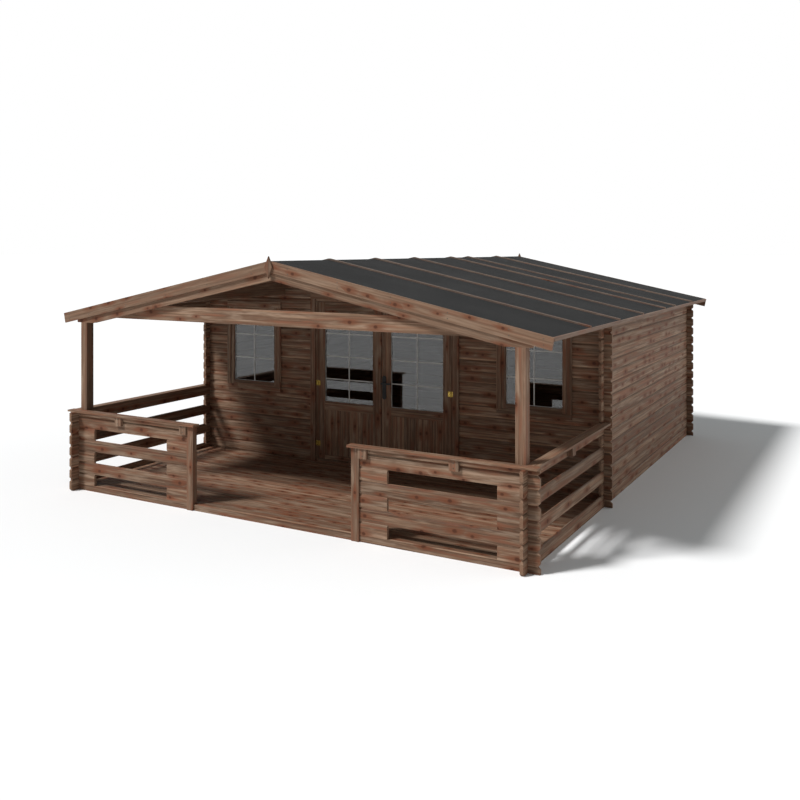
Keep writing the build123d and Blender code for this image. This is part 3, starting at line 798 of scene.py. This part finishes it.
def glazing_bars(name, low, high, row_count, body):
    left, bottom = low[0] + edge, low[2] + edge
    right, top = high[0] - edge, high[2] - edge
    middle = ((left + right) / 2, low[1] - bar_rise, (bottom + top) / 2)
    bpy.ops.object.select_all(action="DESELECT")
    bpy.ops.mesh.primitive_plane_add(size=1, location=middle, rotation=(radians(90), 0, 0))
    lattice = bpy.context.object
    lattice.scale = (right - left, top - bottom, 1)
    settle(lattice)
    bpy.ops.object.mode_set(mode="EDIT")
    cuts = [((middle[0], 0, 0), (1, 0, 0))]
    for row in range(1, row_count):
        cuts.append(((0, 0, bottom + row * (top - bottom) / row_count), (0, 0, 1)))
    for cut, direction in cuts:
        bpy.ops.mesh.select_all(action="SELECT")
        bpy.ops.mesh.bisect(plane_co=cut, plane_no=direction)
    bpy.ops.mesh.select_all(action="SELECT")
    bpy.ops.mesh.inset(thickness=bar_width / 2, use_individual=True)
    bpy.ops.mesh.delete(type="FACE")
    bpy.ops.mesh.select_all(action="SELECT")
    thickness = high[1] - low[1] + 2 * bar_rise
    bpy.ops.mesh.extrude_region_move(TRANSFORM_OT_translate={"value": (0, thickness, 0)})
    bpy.ops.mesh.select_all(action="SELECT")
    bpy.ops.mesh.normals_make_consistent(inside=False)
    bpy.ops.object.mode_set(mode="OBJECT")
    soften(lattice, bar_softness)
    fit(lattice, name, white, body)


print("lattice: bars", bar_width, "m wide")

# %% [markdown]
# ## Glazing bars
#
# Each door pane is divided two by four and each window pane two by three. The panes of the doors are solids of
# their own, so their boxes serve as they are. Both window panes are one solid, so each is measured in from its
# own end. The bars of a door ride on that door and swing with it.

# %% Glazing bars
for side in ("left", "right"):
    glazing_bars(side + "_door_bars", *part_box(side + "_door_glass"), 4, side + "_door")
low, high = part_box("window_glass")
pane = 0.606
glazing_bars("left_window_bars", low, (low[0] + pane, high[1], high[2]), 3, "cabin")
glazing_bars("right_window_bars", (high[0] - pane, low[1], low[2]), high, 3, "cabin")

# %% [markdown]
# ## Head beads
#
# A wooden bead closes the top of each door pane and throws the rain off it. It starts as a box, and the rim of
# its outer face is bevelled in three steps, which rounds it as a moulding plane would.

# %% Head beads
bead_height = 0.031
bead_depth = 0.012
bead_round = 0.005
for side in ("left", "right"):
    low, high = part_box(side + "_door_glass")
    middle = ((low[0] + high[0]) / 2, low[1] - bead_depth / 2, high[2] - edge - bead_height / 2)
    bpy.ops.object.select_all(action="DESELECT")
    bpy.ops.mesh.primitive_cube_add(size=1, location=middle)
    bead = bpy.context.object
    bead.scale = (high[0] - low[0] - 2 * edge, bead_depth, bead_height)
    settle(bead)
    pick_faces(bead, lambda face: face.normal.y < -0.9)
    bpy.ops.mesh.bevel(offset=bead_round, segments=3, affect="EDGES")
    bpy.ops.object.mode_set(mode="OBJECT")
    fit(bead, side + "_door_head_bead", door_timber, side + "_door")

# %% [markdown]
# ## Zinc
#
# Nails and wood screws are zinc plated. New zinc is bright, but out of doors it dulls within a season and takes
# some brown from the stained wood. Both colours are dark for a metal, and the gloss is low.

# %% Zinc
zinc, _, zinc_shader, _ = mottled("zinc_heads", 90.0, 3.0, (0.15, 0.125, 0.10, 1), (0.085, 0.066, 0.05, 1),
                                  (0.5, 0.7))
zinc_shader.inputs["Metallic"].default_value = 1.0
print("metal:", zinc.name)

# %% [markdown]
# ## Screw and nail heads
#
# Boards are nailed and metalwork is screwed. A head is a short cylinder whose rim is bevelled and whose top is
# inset and sunk, which leaves a dish that catches the light. It has few faces, because hundreds are needed.
# One of each sort is modelled at the origin, looking up, as a pattern for the copies.

# %% Head patterns
screw_rise = 0.0012


def pick_top(piece):
    pick_faces(piece, lambda face: face.normal.z > 0.9)


def head(radius, rise):
    bpy.ops.object.select_all(action="DESELECT")
    bpy.ops.mesh.primitive_cylinder_add(vertices=10, radius=radius, depth=2 * rise, location=(0, 0, 0))
    pattern = bpy.context.object
    pick_top(pattern)
    bpy.ops.mesh.bevel(offset=rise * 0.4, segments=1, affect="EDGES")
    bpy.ops.object.mode_set(mode="OBJECT")
    pick_top(pattern)
    bpy.ops.mesh.inset(thickness=radius * 0.3)
    bpy.ops.mesh.inset(thickness=radius * 0.15, depth=-rise * 0.6)
    bpy.ops.object.mode_set(mode="OBJECT")
    return pattern


nail = head(0.0042, 0.0008)
screw = head(0.0055, screw_rise)
small_screw = head(0.0034, 0.0008)
print("patterns:", len(nail.data.polygons), "faces a head")

# %% [markdown]
# ## Placing the heads
#
# A list of places, each with the way that the head looks, becomes one piece. The pattern is copied with a mesh
# of its own to each place and turned to look outwards, and all copies are joined. An array modifier is quicker
# for one straight row, but these follow boards and slopes.

# %% Placing heads
def place_heads(pattern, name, spots, finish, body):
    copies = []
    for spot, outward in spots:
        twin = pattern.copy()
        twin.data = pattern.data.copy()
        bpy.context.scene.collection.objects.link(twin)
        twin.location = spot
        twin.rotation_euler = Vector(outward).to_track_quat("Z", "Y").to_euler()
        copies.append(twin)
    only(*copies)
    bpy.ops.object.join()
    fit(bpy.context.object, name, finish, body)


print("heads can be placed")

# %% [markdown]
# ## Nails in the deck
#
# Each deck board is nailed twice to each bearer. The bearers lie at even distances, so the places follow from
# the box of the floor and the number of boards and bearers.

# %% Deck nails
def spaced(low, high, margin, count):
    return [low + margin + number * (high - low - 2 * margin) / (count - 1) for number in range(count)]


up = (0, 0, 1)
board_count, bearer_count = 20, 9
bearer_middle = 0.022
pair_shares = (0.27, 0.73)
low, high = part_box("veranda_floor")
board_step = (high[1] - low[1]) / board_count
spots = []
for board in range(board_count):
    for x in spaced(low[0], high[0], bearer_middle, bearer_count):
        for share in pair_shares:
            spots.append(((x, low[1] + (board + share) * board_step, high[2]), up))
place_heads(nail, "deck_nails", spots, zinc, "cabin")

# %% [markdown]
# ## Screws in the roof battens
#
# The battens hold the felt down and are screwed through it. Their heads lie on the slope, so each head is
# turned by the pitch of the roof, outwards on both slopes. The cabin is the same on both sides, so each place
# is given once and mirrored.

# %% Batten screws
def both_sides(x, y, z, outward):
    return [((side * x, y, z), (side * outward[0], outward[1], outward[2])) for side in (1, -1)]


slope = tan(pitch)
batten_shares = (0.1616, 0.3092, 0.4559, 0.6164, 0.7017, 0.8574)
first_screw, screw_step, screw_count = 0.12, 0.4, 7
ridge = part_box("roof_battens")[1][2]
roof_front, roof_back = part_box("front_barge_boards")[0][1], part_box("back_barge_boards")[1][1]
spots = []
for share in batten_shares:
    y = roof_front + share * (roof_back - roof_front)
    for number in range(screw_count):
        x = first_screw + number * screw_step
        spots += both_sides(x, y, ridge - slope * x, (sin(pitch), 0, cos(pitch)))
place_heads(screw, "batten_screws", spots, zinc, "cabin")

# %% [markdown]
# ## Screws in the roof trim
#
# Barge boards hold by pairs of screws and eave boards by one row. All their heads look straight out, so no
# slope is needed for them. Those of the eave boards are let in by their own height, because nothing may stand
# out beyond the box of the cabin.

# %% Roof trim screws
forward, backward = (0, -1, 0), (0, 1, 0)
barge_width = 0.1
eave_margin, eave_count = 0.15, 11
spots = []
for y, board, outward in ((roof_front, "front_barge_boards", forward),
                          (roof_back, "back_barge_boards", backward)):
    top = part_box(board)[1][2]
    for x in (0.2, 0.72, 1.24, 1.76, 2.28, 2.56):
        for share in pair_shares:
            spots += both_sides(x, y, top - slope * x - share * barge_width / cos(pitch), outward)
low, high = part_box("eave_boards")
for y in spaced(low[1], high[1], eave_margin, eave_count):
    spots += both_sides(high[0] - screw_rise, y, (low[2] + high[2]) / 2, (1, 0, 0))
place_heads(screw, "roof_trim_screws", spots, zinc, "cabin")

# %% [markdown]
# ## Screws in the handrails
#
# The handrail boards are screwed down from above, along their middle, and the small blocks under them from the
# front, one screw above the other.

# %% Rail screws
cap_half = 0.084
cap_margin, cap_count = 0.12, 4
block_margin = 0.022
spots = []
low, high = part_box("front_caps")
for x in (0.99, 1.45, 1.92, 2.38):
    spots += both_sides(x, (low[1] + high[1]) / 2, high[2], up)
low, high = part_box("side_caps")
for y in spaced(low[1], high[1], cap_margin, cap_count):
    spots += both_sides(high[0] - cap_half, y, high[2], up)
low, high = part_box("cap_brackets")
for x in (0.989, 1.83):
    for z in (low[2] + block_margin, high[2] - block_margin):
        spots += both_sides(x, low[1], z, forward)
place_heads(screw, "rail_screws", spots, zinc, "cabin")

# %% [markdown]
# ## Nails in the casings
#
# The boards round the windows and the doorway are nailed to the logs. Their heads are small and lie in a line
# down the middle of each upright board.

# %% Casing nails
window_casings = (1.3675, 2.1025)
door_casing = 0.895
spots = []
window_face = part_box("window_frames")[0][1]
for x in window_casings:
    for z in (0.83, 1.12, 1.49, 1.775):
        spots += both_sides(x, window_face, z, forward)
door_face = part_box("door_jambs")[0][1]
for z in (0.22, 0.62, 1.02, 1.42, 1.8):
    spots += both_sides(door_casing, door_face, z, forward)
place_heads(nail, "casing_nails", spots, zinc, "cabin")

# %% [markdown]
# ## Screws in the hinges
#
# Each hinge has a flap on the leaf and one on the jamb, with two brass screws in each. The heads on a leaf
# have to swing with it and those on the jamb have to stay, so they are sorted by body and joined apart.

# %% Hinge screws
hinge_half, hinge_count = 0.027, 3
screw_inset, screw_apart = 0.011, 0.016
leaf_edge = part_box("right_door_hinges")[0][0] + screw_inset
low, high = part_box("jamb_hinge_flaps")
jamb_edge = high[0] - screw_inset
hinge_spots = {"left_door": [], "right_door": [], "cabin": []}
for middle in spaced(low[2], high[2], hinge_half, hinge_count):
    for z in (middle - screw_apart, middle + screw_apart):
        for side, body in ((1, "right_door"), (-1, "left_door")):
            hinge_spots[body].append(((side * leaf_edge, low[1], z), forward))
            hinge_spots["cabin"].append(((side * jamb_edge, low[1], z), forward))
for body, spots in hinge_spots.items():
    place_heads(small_screw, body + "_hinge_screws", spots, brass, body)

# %% [markdown]
# ## Screws in the handle plates
#
# A plate lies on each face of the right leaf, with a screw at each end. They are the last heads, so the
# patterns are removed afterwards and do not lie about at the origin.

# %% Plate screws
plate_margin = 0.022
low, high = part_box("handle_plates")
plate_middle = (low[0] + high[0]) / 2
plate_faces = (low[1], high[1])
spots = []
for z in (low[2] + plate_margin, high[2] - plate_margin):
    for y, outward in zip(plate_faces, (forward, backward)):
        spots.append(((plate_middle, y, z), outward))
place_heads(small_screw, "plate_screws", spots, iron, "right_door")
for pattern in (nail, screw, small_screw):
    bpy.data.objects.remove(pattern)
print("patterns removed")

# %% [markdown]
# ## Lock
#
# Below the lever, each plate has the round face of the lock with its key slot. It starts as a disc. Its face is
# inset for a rim, and the inner field is squeezed into a slot and sunk. Cutting the slot with a boolean would
# also work, but it leaves long thin triangles on the face.

# %% Lock
lock_radius, lock_depth = 0.0095, 0.006
lock_height = 0.918
rim, step, step_depth, slot_margin = 0.0012, 0.0006, 0.0008, 0.0015
slot_squeeze = (0.22, 0.9, 1)
slot_depth = 0.004
locks = []
for y, turn in zip(plate_faces, (90, -90)):
    bpy.ops.object.select_all(action="DESELECT")
    bpy.ops.mesh.primitive_cylinder_add(vertices=28, radius=lock_radius, depth=lock_depth, location=(0, 0, 0))
    lock = bpy.context.object
    pick_top(lock)
    bpy.ops.mesh.inset(thickness=rim)
    bpy.ops.mesh.inset(thickness=step, depth=-step_depth)
    bpy.ops.mesh.inset(thickness=slot_margin)
    bpy.ops.transform.resize(value=slot_squeeze)
    bpy.ops.mesh.extrude_region_move(TRANSFORM_OT_translate={"value": (0, 0, -slot_depth)})
    bpy.ops.object.mode_set(mode="OBJECT")
    lock.location = (plate_middle, y, lock_height)
    lock.rotation_euler = (radians(turn), 0, 0)
    locks.append(lock)
only(*locks)
bpy.ops.object.join()
fit(bpy.context.object, "lock_faces", iron, "right_door")
